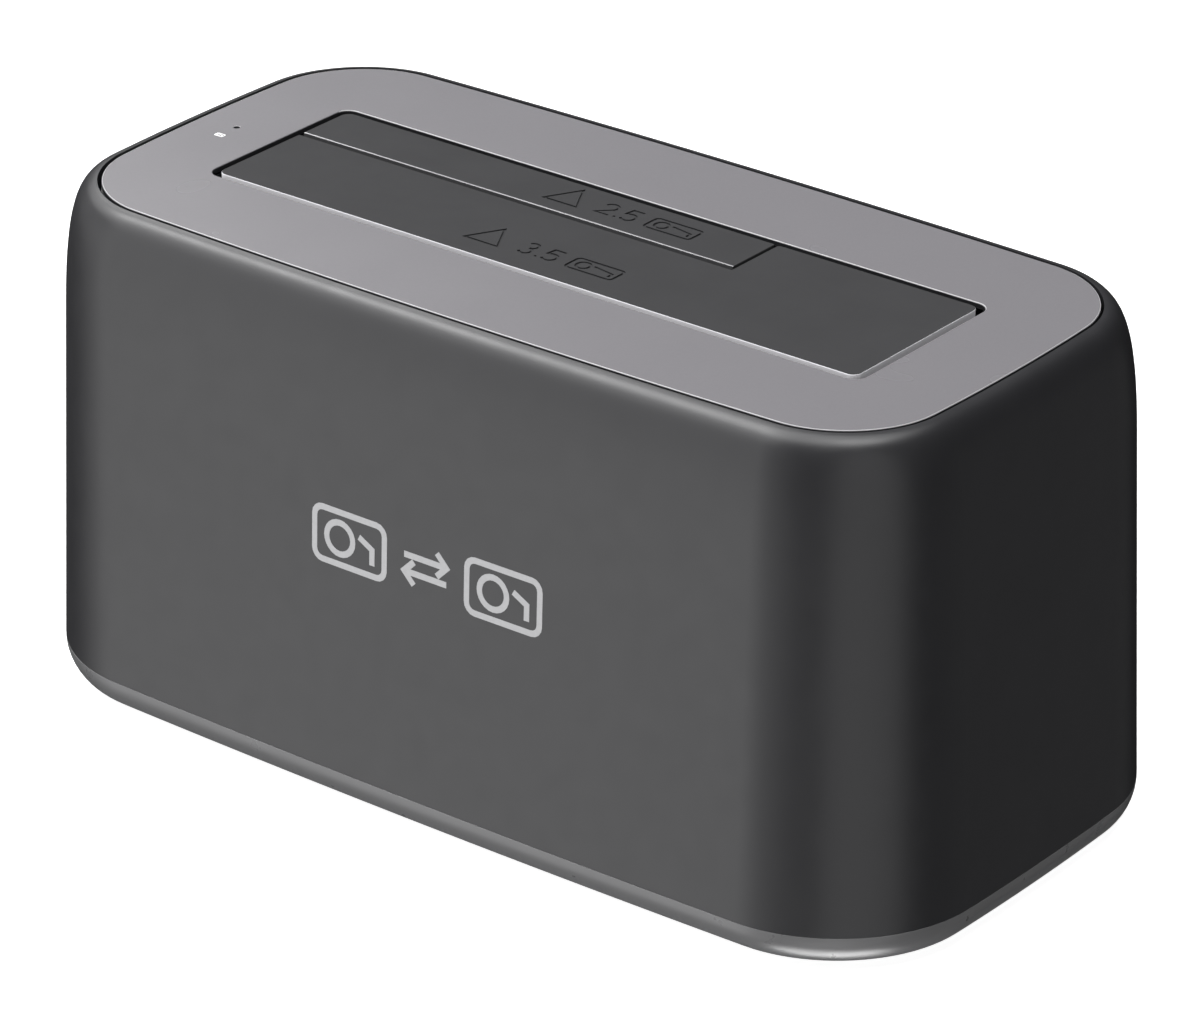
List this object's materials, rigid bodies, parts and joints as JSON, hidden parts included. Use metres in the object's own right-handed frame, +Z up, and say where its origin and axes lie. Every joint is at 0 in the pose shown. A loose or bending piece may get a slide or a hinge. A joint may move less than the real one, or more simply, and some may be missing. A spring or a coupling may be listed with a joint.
{
  "type": "hard drive docking station",
  "caption": "Upright dock for a bare hard drive: a tapered sleeve, a flat top plate, nested spring flaps over the bay, and a rear socket panel.",
  "frame": {"origin": "on the resting surface, under the middle of the body", "axes": "+X along the long side to the right seen from the front, -Y towards the front, +Z up"},
  "size_m": [0.1442, 0.0738, 0.0708],
  "materials": {
    "housing": "dark charcoal, satin moulded plastic",
    "plate": "light warm grey satin paint on sheet metal",
    "flap": "dark charcoal satin plastic, a little lighter than the housing",
    "base": "glossier dark grey plastic",
    "black_plastic": "black moulded plastic",
    "rubber": "dark grey rubber",
    "black_steel": "blackened steel",
    "steel": "bright plated steel",
    "contacts": "gold-plated contacts",
    "circuit_board": "green solder resist",
    "epoxy": "black moulding compound",
    "blue_plastic": "blue insulating plastic",
    "clear_plastic": "clear plastic",
    "lead_jacket": "dark grey PVC jacket"
  },
  "bodies": {
    "chassis": {"outer_housing": "housing", "top_plate": "plate", "base_tray": "base", "bay_frame": "black_plastic", "sata_connector": "black_plastic", "power_jack": "black_plastic", "power_switch": "black_plastic", "led_header": "black_plastic", "foot_1": "rubber", "foot_2": "rubber", "foot_3": "rubber", "foot_4": "rubber", "base_screw_1": "black_steel", "base_screw_2": "black_steel", "base_screw_3": "black_steel", "base_screw_4": "black_steel", "frame_screw_1": "black_steel", "frame_screw_2": "black_steel", "frame_screw_3": "black_steel", "frame_screw_4": "black_steel", "large_flap_hinge_pin": "steel", "small_flap_hinge_pin": "steel", "board_screw_1": "steel", "board_screw_2": "steel", "board_screw_3": "steel", "clock_crystal": "steel", "capacitor_1": "steel", "capacitor_2": "steel", "usb_socket_shell": "steel", "power_jack_pin": "steel", "led_board_screw_1": "steel", "led_board_screw_2": "steel", "sata_signal_contacts": "contacts", "sata_power_contacts": "contacts", "main_board": "circuit_board", "led_board": "circuit_board", "bridge_chip": "epoxy", "firmware_chip": "epoxy", "power_inductor": "epoxy", "usb_socket_tongue": "blue_plastic", "status_led": "clear_plastic", "light_pipe": "clear_plastic", "led_lead": "lead_jacket"},
    "large_flap": {"large_flap": "flap", "large_flap_spring": "steel"},
    "small_flap": {"small_flap": "flap", "small_flap_spring": "steel"},
    "power_button": {"power_button": "black_plastic"}
  },
  "joints": [
    {"name": "large_flap_hinge", "type": "hinge", "parent": "chassis", "child": "large_flap", "pos_m": [0, -0.016, 0.0681], "axis": [-1, 0, 0], "range_deg": [0, 90], "stiffness_Nm_per_rad": 0.0008, "springref_deg": -85.94},
    {"name": "small_flap_hinge", "type": "hinge", "parent": "chassis", "child": "small_flap", "pos_m": [0, 0.016, 0.0681], "axis": [1, 0, 0], "range_deg": [0, 90], "stiffness_Nm_per_rad": 0.0003, "springref_deg": -85.94},
    {"name": "power_button_slide", "type": "slide", "parent": "chassis", "child": "power_button", "axis": [0, -1, 0], "range_m": [0, 0.002], "stiffness_N_per_m": 250, "springref_m": -0.001}
  ]
}
